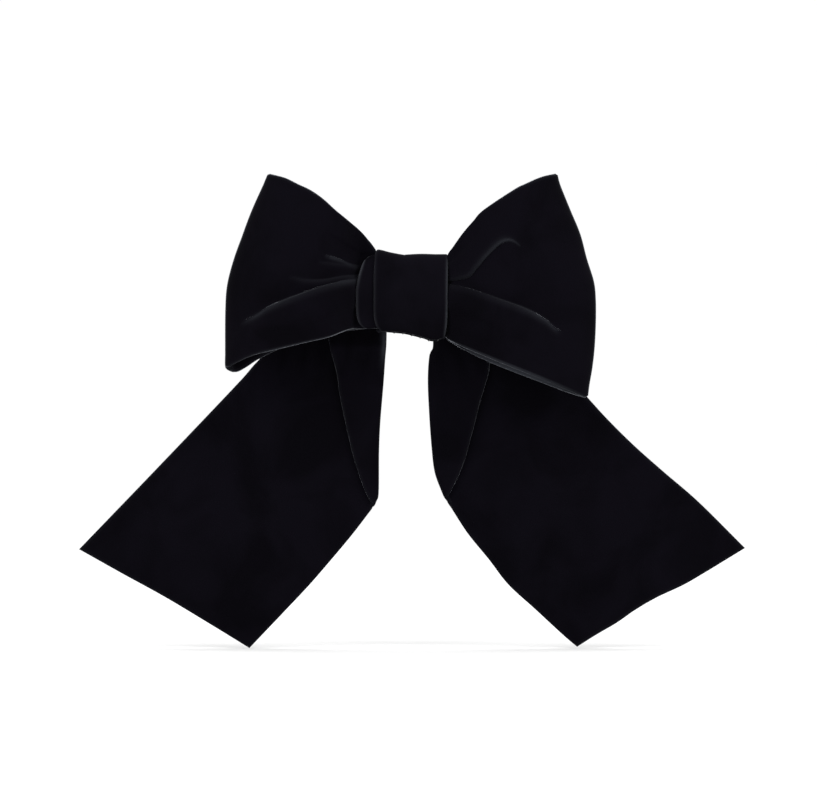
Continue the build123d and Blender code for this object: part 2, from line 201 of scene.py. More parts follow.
def cloth_sheet(name, middle, ring=False, half=CLOTH_HALF, seam=SEAM_EXTRA, groove=SEAM_GROOVE,
                opened=0.0, edges_open=(0.0, 0.0, 0.0, 0.0)):
    """A piece of thick cloth round a grid of points at its middle: two faces, edges that round
    over, and a fine groove where two layers are closed along the edge. A ring joins its last
    column to its first. The UV map holds distances along and across the cloth, and the attribute
    pile_open holds painted sheen: how far the base colour is lightened towards grey at folds
    and along the first and last row and column, where the velvet's sheen line falls."""
    rows, cols = middle.shape[:2]
    wrap = np.concatenate([middle[:, -1:], middle, middle[:, :1]], axis=1) if ring else middle
    du = wrap[:, 2:] - wrap[:, :-2] if ring else np.gradient(middle, axis=1)
    dv = np.gradient(middle, axis=0)
    normal = unit(np.cross(du, dv))

    across = np.zeros((rows, cols))
    across[1:] = np.cumsum(np.linalg.norm(np.diff(middle, axis=0), axis=2), axis=0)
    length = np.zeros((rows, cols))
    length[:, 1:] = np.cumsum(np.linalg.norm(np.diff(middle, axis=1), axis=2), axis=1)
    sides = [across, across[-1] - across] + ([] if ring else [length, length[:, -1:] - length])
    edge = np.minimum.reduce(sides)
    # Painted sheen: how far the base colour is lightened towards grey at folds and along the edges, in place
    # of the velvet's sheen line.
    sheen_paint_mask = np.zeros((rows, cols)) + opened
    for far, amount in zip(sides, edges_open):
        sheen_paint_mask = np.maximum(sheen_paint_mask, amount * np.exp(-((far / EDGE_SHEEN_REACH) ** 2)))

    rounding = np.sqrt(np.clip(1 - (1 - np.clip(edge / (EDGE_ROUND * half), 0, 1)) ** 2, 0, 1))
    thick = half * (0.3 + 0.7 * rounding) + seam * np.clip(1 - edge / SEAM_WIDTH, 0, 1) * rounding
    front = (middle + normal * thick[..., None]).reshape(-1, 3)
    back = (middle - normal * thick[..., None]).reshape(-1, 3)

    index = np.arange(rows * cols).reshape(rows, cols)
    size = rows * cols
    faces = []
    for j in range(cols if ring else cols - 1):
        k = (j + 1) % cols
        for i in range(rows - 1):
            a, b, c, d = index[i, j], index[i, k], index[i + 1, k], index[i + 1, j]
            faces.append((a, b, c, d))
            faces.append((size + d, size + c, size + b, size + a))

    if ring:
        borders = [[(0, j, 1, j) for j in range(cols)], [(rows - 1, j, rows - 2, j) for j in range(cols)]]
    else:
        inner = lambda n, m: min(max(n, 1), m - 2)
        trip = [(0, j) for j in range(cols - 1)] + [(i, cols - 1) for i in range(rows - 1)]
        trip += [(rows - 1, j) for j in range(cols - 1, 0, -1)] + [(i, 0) for i in range(rows - 1, 0, -1)]
        borders = [[(i, j, inner(i, rows), inner(j, cols)) for i, j in trip]]
    points = [front, back]
    total = 2 * size
    for border in borders:
        here = np.array([middle[i, j] for i, j, _, _ in border])
        inward = unit(np.array([middle[m, n] for _, _, m, n in border]) - here)
        points.append(here + inward * groove)
        count = len(border)
        for n in range(count):
            m = (n + 1) % count
            a, b = index[border[n][0], border[n][1]], index[border[m][0], border[m][1]]
            faces.append((a, b, total + m, total + n))
            faces.append((total + n, total + m, size + b, size + a))
        total += count

    mesh = bpy.data.meshes.new(name)
    mesh.from_pydata(np.vstack(points).tolist(), [], faces)
    mesh.update()
    flat_u = np.r_[length.ravel(), length.ravel(), np.zeros(total - 2 * size)]
    flat_v = np.r_[across.ravel(), across.ravel() + 1.0, np.zeros(total - 2 * size)]
    borders_sheen_paint = [sheen_paint_mask[i, j] for border in borders for i, j, _, _ in border]
    pile_open = mesh.attributes.new("pile_open", "FLOAT", "POINT")
    pile_open.data.foreach_set("value", np.r_[sheen_paint_mask.ravel(), sheen_paint_mask.ravel(), borders_sheen_paint])
    uv = mesh.uv_layers.new(name="cloth")
    corner = np.zeros(len(mesh.loops), int)
    mesh.loops.foreach_get("vertex_index", corner)
    uv.data.foreach_set("uv", np.stack([flat_u[corner], flat_v[corner]], axis=1).ravel())
    return finished_piece(mesh)


def as_seen(points):
    """Points in mm whose x and z are drawn in the plane through VIEW_CENTRE, as the camera sees
    them, set at their own depth y instead."""
    away = 1 + (points[..., 1] - VIEW_CENTRE.y / mm) * mm / VIEW_DISTANCE
    placed = points.copy()
    for k in (0, 2):
        placed[..., k] = VIEW_CENTRE[k] / mm + (points[..., k] - VIEW_CENTRE[k] / mm) * away
    return placed


def graded(count, edge_steps=(0.0, 0.12, 0.35, 0.7, 1.2), span=80.0, end=True):
    """Shares from 0 to 1 that crowd together near both ends, for the rounding of the edges."""
    near = np.array(edge_steps) / span
    body = np.linspace(near[-1], 1 - near[-1], count - 2 * len(near) + 2)
    return np.r_[near[:-1], body, (1 - near[:-1])[::-1]][: None if end else -1]


def velvet(name, dark, light, painted_sheen_tone, sheen):
    """Black velvet: short dense pile that drinks the light, with a silver sheen where it is seen
    edge on, faint patches where the nap leans another way, a fine grain of single tufts, and
    painted sheen: a greyer base colour where the mesh marks a fold or an edge."""
    material, tree, shader = new_material(name)
    place = add_node(tree, "TexCoord", {}, "Object")
    leaning = {"Vector": place, "Scale": 38.0, "Detail": 3.0, "Distortion": 0.6}
    nap = add_node(tree, "TexNoise", leaning, "Fac")
    tufts = add_node(tree, "TexNoise", {"Vector": place, "Scale": 2600.0, "Detail": 2.0}, "Fac")

    patches = add_node(tree, "MapRange", {"Value": nap, "From Min": 0.35, "From Max": 0.7}, "Result")
    speckle = add_node(tree, "Math", {0: tufts, 1: 0.5, 2: patches}, "Value", operation="MULTIPLY_ADD")
    tone_inputs = {"Factor": speckle, "A": (*dark, 1), "B": (*light, 1)}
    tone = add_node(tree, "Mix", tone_inputs, "Result", data_type="RGBA")
    # Painted sheen: the base colour is mixed towards a grey where the mesh marks folds and edges.
    sheen_paint_mask = add_node(tree, "Attribute", {}, "Fac", attribute_name="pile_open")
    broken = add_node(tree, "MapRange", {"Value": tufts, "To Min": 0.55, "To Max": 1.45}, "Result")
    sheen_paint_share = add_node(tree, "Math", {0: sheen_paint_mask, 1: broken}, "Value", operation="MULTIPLY")
    painted_sheen_part_inputs = {"Factor": sheen_paint_share, "A": tone, "B": (*painted_sheen_tone, 1)}
    painted_sheen_part = add_node(tree, "Mix", painted_sheen_part_inputs, "Result", data_type="RGBA")
    rough = add_node(tree, "MapRange", {"Value": nap, "To Min": 0.82, "To Max": 1.0}, "Result")
    pile = add_node(tree, "Bump", {"Height": tufts, "Strength": 0.35, "Distance": 0.12 * mm}, "Normal")
    lean_inputs = {"Height": nap, "Strength": 0.3, "Distance": 1.2 * mm, "Normal": pile}
    lean = add_node(tree, "Bump", lean_inputs, "Normal")
    set_inputs(tree, shader, {
        "Base Color": painted_sheen_part,
        "Roughness": rough,
        "Normal": lean,
        "Specular IOR Level": 0.02,
        "Sheen Weight": sheen,
        "Sheen Roughness": 0.22,
        "Sheen Tint": (0.86, 0.9, 1.0, 1),
    })
    return material


# The grey of the painted sheen on the ribbon's folds and edges.
PAINTED_SHEEN_GREY = (0.036, 0.039, 0.047)
ribbon_velvet = velvet("ribbon_velvet", (0.001, 0.0008, 0.0015), (0.0024, 0.002, 0.0036), PAINTED_SHEEN_GREY, 0.36)

NECK_FRONT_Y, NECK_BACK_Y = -22.2, -17.2
OUTER_FOLD = [(0.82, -37.2), (0.93, -34.0), (0.985, -30.8), (1.0, -28.0), (0.99, -24.8), (0.95, -19.6),
              (0.84, -14.6), (0.6, -12.1), (0.36, -13.4), (0.15, -16.2), (0.0, NECK_BACK_Y)]
FRONT_COLUMNS, BACK_COLUMNS = 112, 46

# Lines are (distance from the middle, height) in mm, from the neck outwards, and depths go with
# the distance. from_above is the ribbon seen from above, as (share of the loop's reach, depth), and
# flare is how far the front layer's lower edge stands forward. front_open and back_open
# are how much painted sheen lies along the lower edges, and on the back layer painted light over its
# shade. A fold doubles back under itself: where its depth is positive the cloth below it comes
# forward, turn is how far its rounding reaches, open how much painted sheen lies on it and soft
# the share of that which dies away slowly, and fade how far its step dies away below and above it.
LOOPS = {
    "left": {
        "side": -1,
        "neck": 9.0,
        "flare": 0.9,
        "front_open": [(9.0, 0.0), (19.0, 0.06), (26.0, 0.4), (50.0, 0.5), (61.0, 0.2), (71.0, 0.1)],
        "back_open": [(9.0, 0.1), (71.0, 0.1)],
        "from_above": [(0.0, NECK_FRONT_Y), (0.1, -22.4), (0.165, -23.4), (0.22, -28.0), (0.36, -35.8),
                       (0.6, -38.8), *OUTER_FOLD],
        "outer": [(70.9, -28.6), (71.0, -22.0), (70.9, -5.0), (70.2, 5.0), (67.8, 15.0), (64.4, 25.0),
                  (60.5, 35.0), (55.8, 45.0), (53.7, 49.4)],
        "front_top": [(9.0, 13.0), (10.6, 18.6), (15.6, 25.0), (22.1, 30.8), (27.0, 34.9), (31.8, 39.3),
                      (36.8, 42.8), (41.8, 45.2), (47.0, 47.7), (53.7, 49.4)],
        "front_bottom": [(9.0, -12.6), (16.6, -12.8), (21.8, -13.2), (29.8, -16.2), (40.2, -18.6),
                         (50.6, -21.1), (61.0, -23.8), (70.9, -28.6)],
        "back_top": [(9.0, 12.6), (15.8, 21.5), (22.2, 28.5), (37.0, 40.5), (46.0, 45.6), (53.7, 49.4)],
        "back_bottom": [(9.0, -12.4), (18.0, -13.0), (30.0, -15.0), (45.0, -19.0), (57.0, -24.6),
                        (62.7, -28.2), (67.0, -30.1), (70.9, -28.6)],
        "folds": [
            {
                "line": [(9.0, 7.0), (19.0, 6.8), (34.2, 2.8), (51.4, -3.6), (58.2, -7.2), (71.0, -13.0)],
                "depth": [(9.0, 0.2), (17.0, 0.4), (20.5, 1.6), (28.0, 3.6), (46.0, 4.7), (53.0, 3.6),
                          (59.0, 1.6), (64.0, 0.4), (68.0, 0.0), (71.0, 0.0)],
                "turn": [(9.0, 1.0), (30.0, 1.0), (44.0, 1.2), (50.0, 1.6), (57.0, 2.3), (71.0, 3.0)],
                "open": [(9.0, 0.0), (18.0, 0.2), (24.0, 0.24), (30.0, 0.13), (40.0, 0.12), (50.0, 0.22),
                         (57.0, 0.22), (61.0, 0.12), (65.0, 0.0), (71.0, 0.0)],
                "soft": 0.6,
                "fade": (16.0, 10.0),
            },
            {
                "line": [(9.0, 10.6), (17.0, 11.6), (20.6, 12.5), (25.0, 14.6), (31.0, 16.7), (38.0, 19.0),
                         (71.0, 25.0)],
                "depth": [(9.0, 0.0), (17.0, 0.2), (20.0, 1.2), (26.0, 1.8), (30.0, 0.9), (35.0, 0.1),
                          (40.0, 0.0), (71.0, 0.0)],
                "turn": [(9.0, 0.8), (25.0, 0.8), (71.0, 1.0)],
                "open": [(9.0, 0.0), (19.0, 0.05), (22.0, 0.12), (28.0, 0.22), (31.0, 0.1), (33.0, 0.0),
                         (71.0, 0.0)],
                "soft": 0.1,
                "fade": (5.0, 4.0),
            },
        ],
    },
    "right": {
        "side": 1,
        "neck": 17.0,
        "flare": 1.7,
        "front_open": [(17.0, 0.35), (33.0, 0.5), (52.0, 0.6), (65.0, 0.3), (74.0, 0.15)],
        "back_open": [(17.0, 0.2), (30.0, 0.6), (45.0, 0.95), (62.0, 0.7), (70.0, 0.3), (74.0, 0.1)],
        "from_above": [(0.0, NECK_FRONT_Y), (0.022, -23.9), (0.045, -26.4), (0.085, -28.4),
                       (0.19, -32.0), (0.36, -36.2), (0.6, -38.8), *OUTER_FOLD],
        "outer": [(74.0, -40.6), (74.9, -35.0), (76.1, -28.0), (76.95, -20.0), (77.4, -10.0), (77.35, -1.0),
                  (76.6, 6.0), (73.85, 15.0), (71.2, 25.0), (67.1, 35.0), (63.1, 45.0), (61.8, 49.5)],
        "front_top": [(17.0, 14.6), (18.4, 16.6), (19.6, 19.0), (23.8, 25.0), (28.6, 30.6), (32.7, 35.0),
                      (44.6, 43.0), (48.9, 45.2), (55.5, 48.05), (61.8, 49.5)],
        "front_bottom": [(17.0, -13.4), (18.9, -17.4), (34.8, -24.5), (52.1, -31.5), (65.3, -36.9),
                         (74.0, -40.6)],
        "back_top": [(17.0, 13.0), (19.6, 17.6), (28.6, 28.8), (35.0, 35.0), (44.6, 41.4), (55.0, 46.8),
                     (61.8, 49.5)],
        "back_bottom": [(17.0, -13.6), (19.5, -18.2), (35.2, -26.2), (55.4, -34.1), (66.0, -38.2),
                        (74.0, -40.6)],
        "folds": [
            {
                "line": [(17.0, 4.6), (20.2, 4.0), (29.5, 1.7), (38.8, -1.6), (48.8, -5.2), (56.7, -9.2),
                         (62.0, -13.0), (77.3, -20.0)],
                "depth": [(17.0, 1.0), (21.0, 2.2), (34.0, 3.2), (48.0, 4.4), (54.0, 3.8), (60.0, 1.8),
                          (65.0, 0.4), (70.0, 0.0), (77.3, 0.0)],
                "turn": [(17.0, 0.9), (34.0, 1.0), (47.0, 1.25), (53.0, 1.7), (60.0, 2.4), (77.3, 3.0)],
                "open": [(17.0, 0.06), (25.0, 0.03), (34.0, 0.08), (45.0, 0.15), (53.0, 0.26), (58.0, 0.26),
                         (61.0, 0.14), (64.0, 0.0), (77.3, 0.0)],
                "soft": 0.6,
                "fade": (16.0, 10.0),
            },
            {
                "line": [(17.0, 7.2), (20.0, 7.4), (26.2, 8.8), (28.8, 11.6), (33.5, 17.0), (38.1, 21.4),
                         (41.4, 22.8), (44.8, 22.0), (48.8, 19.0), (56.0, 17.0), (77.3, 17.0)],
                "depth": [(17.0, -1.2), (21.0, -2.4), (30.0, -2.8), (39.0, -2.9), (43.0, -2.0), (47.0, -0.6),
                          (53.0, 0.0), (77.3, 0.0)],
                "turn": [(17.0, 0.8), (30.0, 0.8), (38.0, 1.0), (42.0, 1.4), (46.0, 1.9), (77.3, 2.4)],
                "open": [(17.0, 0.04), (26.0, 0.14), (33.0, 0.3), (40.0, 0.36), (43.0, 0.3), (47.0, 0.1),
                         (50.0, 0.0), (77.3, 0.0)],
                "soft": 0.2,
                "fade": (3.0, 7.0),
            },
        ],
    },
}

# Smaller gathers that fan out from the knot on the front of each loop, as (distance, height)
# lines with a depth and how much painted sheen lies along them. A positive depth brings the cloth
# below the line forward.
GATHERS = {
    "left": [
        ([(17.0, 8.2), (24.0, 7.9), (31.8, 6.3), (39.0, 6.4), (45.5, 8.0)], 1.8, 0.1),
        ([(18.0, 12.2), (24.0, 12.7), (34.0, 13.8)], 1.2, 0.05),
        ([(17.0, 18.0), (24.0, 22.0), (32.0, 27.5)], -1.2, 0.0),
        ([(17.0, -3.0), (28.0, -6.0), (36.0, -9.5)], -1.0, 0.0),
    ],
    "right": [
        ([(18.0, 12.0), (24.0, 17.0), (31.0, 24.5)], 1.2, 0.0),
        ([(18.0, -4.0), (28.0, -7.0), (40.0, -13.0)], -1.0, 0.0),
    ],
}


FOLD_LINE, FOLD_GLOW = 0.5, 1.4     # how far the painted sheen reaches each side of a fold, as a line and as a faint glow
GATHER_SOFT = 0.2
GATHER_RISE = 6.0               # a gather rises over this distance before its line's start


def painted_sheen_share(off, soft):
    """How much painted sheen lies at a distance from a fold's crest, 1 at the crest. soft is the
    share that dies away slowly."""
    return soft * np.exp(-((off / FOLD_GLOW) ** 2)) + (1 - soft) * np.exp(-((off / FOLD_LINE) ** 2))


def gather(x, z, line, depth, reach=0.7, fade=8.0):
    """The depth that one gather adds: a small steep turn at its line that flattens away from it.
    Also gives how much painted sheen lies at each point, from 0 to 1, most at the turn."""
    dense = smooth_line(line)
    start, end = dense[0, 0], dense[-1, 0]
    slope = np.gradient(dense[:, 1], dense[:, 0] + np.arange(len(dense)) * 1e-9)
    off = (z - np.interp(x, dense[:, 0], dense[:, 1])) / np.hypot(1, np.interp(x, dense[:, 0], slope))
    share = np.clip((x - start) / (end - start), 0, 1)
    strength = np.sqrt(np.clip(1 - share**3, 0, 1)) * (x <= end)
    strength = strength * np.clip((x - start + GATHER_RISE) / GATHER_RISE, 0, 1)
    below = soft_step(-off / reach) - 0.5
    deeper = -depth * strength * below * np.exp(-np.abs(off) / fade)
    return deeper, strength * painted_sheen_share(off, GATHER_SOFT)


def crowded(count, low, high):
    """Shares from 0 up to 1 that crowd towards the low end, the high end, or both."""
    t = np.linspace(0, 1, count, endpoint=False)
    if low and high:
        return 0.5 * (1 + np.sign(2 * t - 1) * (1 - (1 - np.abs(2 * t - 1)) ** 1.5))
    return t**1.6 if low else 1 - (1 - t) ** 1.6


FOLD_ROWS = (crowded(34, False, True), crowded(36, True, True), crowded(60, True, False))
FOLD_BELOW, FOLD_ABOVE = 0.62, 0.38     # the shares of a fold's step that fall below and above it
FOLD_CREST = 0.4                # the crest lies this many turns from the fold's line
FOLD_TUCK = 0.34                # how far the cloth is drawn in under the fold, 1 is straight back
FULL_STEP = 3.0                 # a fold with this step or more is drawn in fully
TUCK_REACH = 8.0
FILLED_FROM, FILLED_OVER = 0.12, 0.06   # where the loop fills out, as shares of its reach
FRONT_CROWN, BACK_CROWN = 2.6, 2.0      # how far each layer's two edges lean towards the other
LOW_BELLY = 1.2                 # how far the front swells below its first fold
FLARE_REACH = 2.4
# Ripples that run out from the gathers: depth, how close together, start, and reach.
RIPPLES = {"front": (0.5, 9.0, 0.7, 0.3), "back": (1.1, 15.0, 1.9, 0.28)}
EDGE_SHEEN_PAINT = {"front": 0.5, "back": 1.5}     # how far up from the lower edge the painted sheen reaches
# Above the knot the front layer runs straight out, at this slope up to this distance, in the rows
# over this height.
SHOULDER_SLOPE, SHOULDER_END, SHOULDER_Z, SHOULDER_SOFT = 0.61, 31.3, 20.5, 2.6


def loop_surface(name):
    """The middle of the cloth of one loop, from the knot's front out round the loop to its back.
    Rows are laid along the folds, so that each fold can double back under itself."""
    shape = LOOPS[name]
    neck, side = shape["neck"], shape["side"]
    line = {key: smooth_line(shape[key]) for key in shape if key not in ("side", "neck", "flare", "folds")}
    fold_keys = ("line", "depth", "turn", "open")
    folds = [{key: smooth_line(fold[key]) for key in fold_keys} for fold in shape["folds"]]
    scale = np.array([line["outer"][:, 0].max() - neck, 1.0])
    path = line["from_above"] * scale
    tip = int(np.argmax(path[:, 0]))
    front, back = evenly(path[:tip + 1], FRONT_COLUMNS), evenly(path[tip:], BACK_COLUMNS + 1)[1:]
    path = np.vstack([front, back]) / scale
    share, depth = np.clip(path[:, 0], 0, 1), path[:, 1]

    def laid(heights):
        """Rows between the given heights, crowded towards the folds."""
        parts = [low + (high - low) * t for low, high, t in zip(heights, heights[1:], FOLD_ROWS)]
        return np.r_[np.concatenate(parts), heights[-1]]

    outer = line["outer"][:, ::-1]
    row_z = laid([outer[0, 0], folds[0]["line"][-1, 1], folds[1]["line"][-1, 1], outer[-1, 0]])
    row_reach = along(outer, row_z) - CLOTH_HALF / mm
    fold_rows = (len(FOLD_ROWS[0]), len(FOLD_ROWS[0]) + len(FOLD_ROWS[1]))

    points = np.zeros((len(row_z), len(share), 3))
    opened = np.zeros((len(row_z), len(share)))
    for j in range(len(share)):
        layer = "front" if j < FRONT_COLUMNS else "back"
        x = neck + share[j] * (row_reach - neck)
        bottom, top = along(line[f"{layer}_bottom"], x[0]), along(line[f"{layer}_top"], x[-1])
        creases = [along(fold["line"], x[row]) for fold, row in zip(folds, fold_rows)]
        laid_z = laid([bottom, *creases, top])
        height = (laid_z - bottom) / (top - bottom)
        ease = soft_step((share[j] - FILLED_FROM) / FILLED_OVER) * (1 - share[j] ** 6)
        crown = (2 * height - 1) ** 2
        ripple, close, phase, reach = RIPPLES[layer]
        waves = ripple * np.sin(close * height + phase) * math.exp(-share[j] / reach)
        z = laid_z.copy()
        if layer == "front":
            low_half = np.clip((creases[0] - laid_z) / (creases[0] - bottom), 0, 1)
            belly = LOW_BELLY * np.sin(math.pi * low_half) ** 2
            y = depth[j] + ease * (FRONT_CROWN * crown - belly) + waves
            for fold, crease, settings in zip(folds, creases, shape["folds"]):
                off = laid_z - crease
                step, turn = along(fold["depth"], x), along(fold["turn"], x)
                turned = np.tanh(off / turn)
                below, above = settings["fade"]
                faded = np.where(off < 0, FOLD_BELOW * np.exp(off / below),
                                 FOLD_ABOVE * np.exp(-off / above))
                y += step * faded * turned
                tuck = FOLD_TUCK * turn * np.clip(np.abs(step) / FULL_STEP, 0, 1)
                z -= tuck * turned * np.exp(-((off / TUCK_REACH) ** 2))
                # Painted sheen along the fold's crest.
                crest = off + FOLD_CREST * turn * np.sign(step)
                opened[:, j] += np.clip(along(fold["open"], x), 0, 1) * painted_sheen_share(crest, settings["soft"])
            # Each gather deepens the cloth and adds painted sheen along its turn.
            for gather_line, gather_depth, gather_open in GATHERS[name]:
                deeper, near = gather(x, z, gather_line, gather_depth)
                y += deeper
                opened[:, j] += gather_open * near
            y -= shape["flare"] * ease * np.exp(-(laid_z - bottom) / FLARE_REACH)
            forward = np.minimum(NECK_FRONT_Y - SHOULDER_SLOPE * (x - neck) - depth[j], 0)
            upper = soft_step((z - SHOULDER_Z) / SHOULDER_SOFT)
            y += np.where(x < SHOULDER_END, forward, 0) * upper
        else:
            y = depth[j] - ease * BACK_CROWN * crown + waves
        # Painted sheen along the lower edge; on the back layer it also lightens the shade between the two
        # edges.
        painted_sheen_part = EDGE_SHEEN_PAINT[layer]
        opened[:, j] += along(line[f"{layer}_open"], x[0]) * np.exp(-(((laid_z - bottom) / painted_sheen_part) ** 2))
        points[:, j] = np.stack([side * x, y, z], axis=1)
    return as_seen(points), opened


NECK_COLUMNS = 10


def neck_surface(start, end):
    """The gathered cloth inside the knot, between two columns of the loops."""
    t = np.linspace(0, 1, NECK_COLUMNS + 2)[1:-1, None, None]
    return (start * (1 - t) + end * t).transpose(1, 0, 2)


left_loop, left_open = loop_surface("left")
right_loop, right_open = [grid[:, ::-1] for grid in loop_surface("right")]
neck_open = np.zeros((len(left_open), NECK_COLUMNS))
front_neck = neck_surface(right_loop[:, -1], left_loop[:, 0])
back_neck = neck_surface(left_loop[:, -1], right_loop[:, 0])
ring = np.concatenate([left_loop, back_neck, right_loop, front_neck], axis=1)
ring_open = np.concatenate([left_open, neck_open, right_open, neck_open], axis=1)
# The ribbon carries painted sheen at its folds, along its lower edges and faintly along its upper edge.
loops = cloth_sheet("bow_loops", ring * mm, ring=True, opened=ring_open, edges_open=(0.0, 0.12))
loops.data.materials.append(ribbon_velvet)
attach(loops, "bow")
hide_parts("loop_ribbon")

# ------------------------------------------------------------------ gathering thread
# Strong black polyester thread, three plies twisted together, wound five times round the
# gathered middle and pulled tight before the knot band covers it.
thread_material, thread_tree, thread_shader = new_material("black_thread")
thread_place = add_node(thread_tree, "TexCoord", {}, "Object")
fibres = add_node(thread_tree, "TexNoise", {"Vector": thread_place, "Scale": 5200.0, "Detail": 2.0}, "Fac")
fibre_tones = {"Factor": fibres, "A": (0.004, 0.004, 0.005, 1), "B": (0.018, 0.018, 0.022, 1)}
fibre_bump = {"Height": fibres, "Strength": 0.4, "Distance": 0.03 * mm}
set_inputs(thread_tree, thread_shader, {
    "Base Color": add_node(thread_tree, "Mix", fibre_tones, "Result", data_type="RGBA"),
    "Normal": add_node(thread_tree, "Bump", fibre_bump, "Normal"),
    "Roughness": 0.55,
})

PLIES = 3
PLY_POINTS = 12                 # points round the thread
TWIST = 1.7                     # lengths of thread for one full twist, in diameters
LOBE = 0.12                     # how deep the twist cuts, as a share of the thread's radius
THREAD_STEP = 0.7               # distance between sections, in radii


def thread(name, routes, radius, closed=False):
    """Three-ply twisted thread along each route, with its lobed section turning as it goes."""
    points, faces = [], []
    around = np.arange(PLY_POINTS) * 2 * math.pi / PLY_POINTS
    for route in routes:
        length = np.linalg.norm(np.diff(route, axis=0), axis=1).sum()
        line = evenly(route, max(8, int(length / (THREAD_STEP * radius))))
        if closed:
            line = line[:-1]
            ahead = unit(np.roll(line, -1, axis=0) - np.roll(line, 1, axis=0))
        else:
            ahead = unit(np.gradient(line, axis=0))
        side = unit(np.cross(ahead[0], (0.3, 0.5, 0.8)))
        start = len(points) * PLY_POINTS
        step = length / len(line)
        for n, (place, forward) in enumerate(zip(line, ahead)):
            side = unit(side - forward * np.dot(side, forward))
            up = np.cross(forward, side)
            twisted = 2 * math.pi * n * step / (2 * radius * TWIST)
            lobes = 1 - LOBE + LOBE * np.cos(PLIES * around - twisted)
            ring = place + radius * lobes[:, None] * (
                np.cos(around)[:, None] * side + np.sin(around)[:, None] * up
            )
            points.append(ring)
        rings = len(line)
        for n in range(rings if closed else rings - 1):
            for k in range(PLY_POINTS):
                here, after = start + n * PLY_POINTS, start + (n + 1) % rings * PLY_POINTS
                m = (k + 1) % PLY_POINTS
                faces.append((here + k, here + m, after + m, after + k))
        if not closed:
            faces.append(tuple(start + k for k in range(PLY_POINTS))[::-1])
            faces.append(tuple(start + (rings - 1) * PLY_POINTS + k for k in range(PLY_POINTS)))
    mesh = bpy.data.meshes.new(name)
    mesh.from_pydata((np.vstack(points) * mm).tolist(), [], faces)
    mesh.update()
    mesh.materials.append(thread_material)
    return finished_piece(mesh)


GATHER_MIDDLE = (-19.7, 0.9)    # y and z of the middle of the gathered neck
GATHER_HALF = (5.75, 13.4)
GATHER_CORNER = 0.8             # how round the neck's section is, 1 is an oval
GATHER_TURNS, GATHER_PITCH, GATHER_STRAY = 5, 2.0, 0.35
round_neck = np.linspace(0, 2 * math.pi, 120)
gather_turns = []
for n in range(GATHER_TURNS):
    upwards = np.sin(round_neck)
    x = (n - (GATHER_TURNS - 1) / 2) * GATHER_PITCH + GATHER_STRAY * np.sin(round_neck + 1.3 * n)
    y = GATHER_MIDDLE[0] + GATHER_HALF[0] * np.cos(round_neck)
    z = GATHER_MIDDLE[1] + GATHER_HALF[1] * np.sign(upwards) * np.abs(upwards) ** GATHER_CORNER
    gather_turns.append(np.stack([x, y, z], axis=1))
gathering = thread("gathering_thread_turns", gather_turns, radius=0.38, closed=True)
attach(gathering, "bow")
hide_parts("gathering_thread")

# ------------------------------------------------------------------ knot band
# A velvet strip with both long edges folded under, wrapped twice round the gathered middle. The
# second turn lies a little to the right, so a strip of the first shows at the left.
KNOT_HALF = 0.55 * mm
KNOT_MIDDLE_Y = -19.7
KNOT_FRONT_REACH, KNOT_BACK_REACH = 9.3, 8.3
KNOT_CORNER = {"below": 0.3, "above": 0.5}      # how round the section's corners are, 1 is an oval
TURN_STEP = 1.15                # each turn lies this much outside the one before it
KNOT_RIPPLE = 0.14
WRAP_COLUMNS = 290
WRAP_ROWS = 64
WRAP_SHEEN_PAINT = 0.7                 # how far in from the strip's edges the painted sheen reaches

# How far in from the knot's underside the strip lies, by turn: its end is turned up and sewn just
# behind the front's lower edge.
knot_under = np.array([(0, 2.2), (0.1, 1.15), (0.75, 1.15), (0.95, 1.3), (1.0, 1.3), (1.1, 0.0),
                       (1.8, 0.0), (1.9, 0.15), (2.0, 0.5)])
knot_top = smooth_line([(-20, 16.0), (-15.4, 16.4), (-12.5, 17.6), (-10.2, 18.6), (-8.8, 18.7),
                        (-4.4, 17.8), (0.6, 16.9), (1.6, 17.0), (8.2, 17.3), (18.2, 16.85), (22, 16.4)])
knot_bottom = smooth_line([(-20, -13.6), (-14.4, -14.4), (-9.1, -14.25), (-1.8, -14.85), (1.5, -15.25),
                           (8.2, -16.9), (12.5, -18.1), (18.0, -16.4), (22, -16.2)])
# Where the strip's edges lie, as (turns from the bottom, distance along the barrette). The front
# of the knot is a quarter of a turn on from the bottom.
strip_left = smooth_line([(0, -13.4), (0.07, -14.4), (0.14, -17.2), (0.24, -18.6), (0.27, -18.1),
                          (0.34, -16.9), (0.42, -15.6), (0.47, -14.0), (0.55, -12.4), (0.75, -12.0),
                          (1.0, -7.2), (1.06, -7.8), (1.1, -9.2), (1.14, -10.4), (1.19, -11.1),
                          (1.25, -11.5), (1.42, -10.9), (1.5, -10.3), (1.75, -10.2), (2.0, -10.4)])
strip_right = smooth_line([(0, 14.0), (0.5, 14.6), (0.75, 16.0), (1.0, 16.8), (1.08, 16.9), (1.25, 18.0),
                           (1.42, 18.2), (1.5, 18.0), (1.75, 17.6), (2.0, 17.4)])

turns = 2 * graded(WRAP_COLUMNS, span=170.0)
rows_in = np.sin(np.linspace(-0.5, 0.5, WRAP_ROWS) * math.pi) * 0.5 + 0.5
wrap = np.zeros((WRAP_ROWS, WRAP_COLUMNS, 3))
wrap_open = np.zeros((WRAP_ROWS, WRAP_COLUMNS))
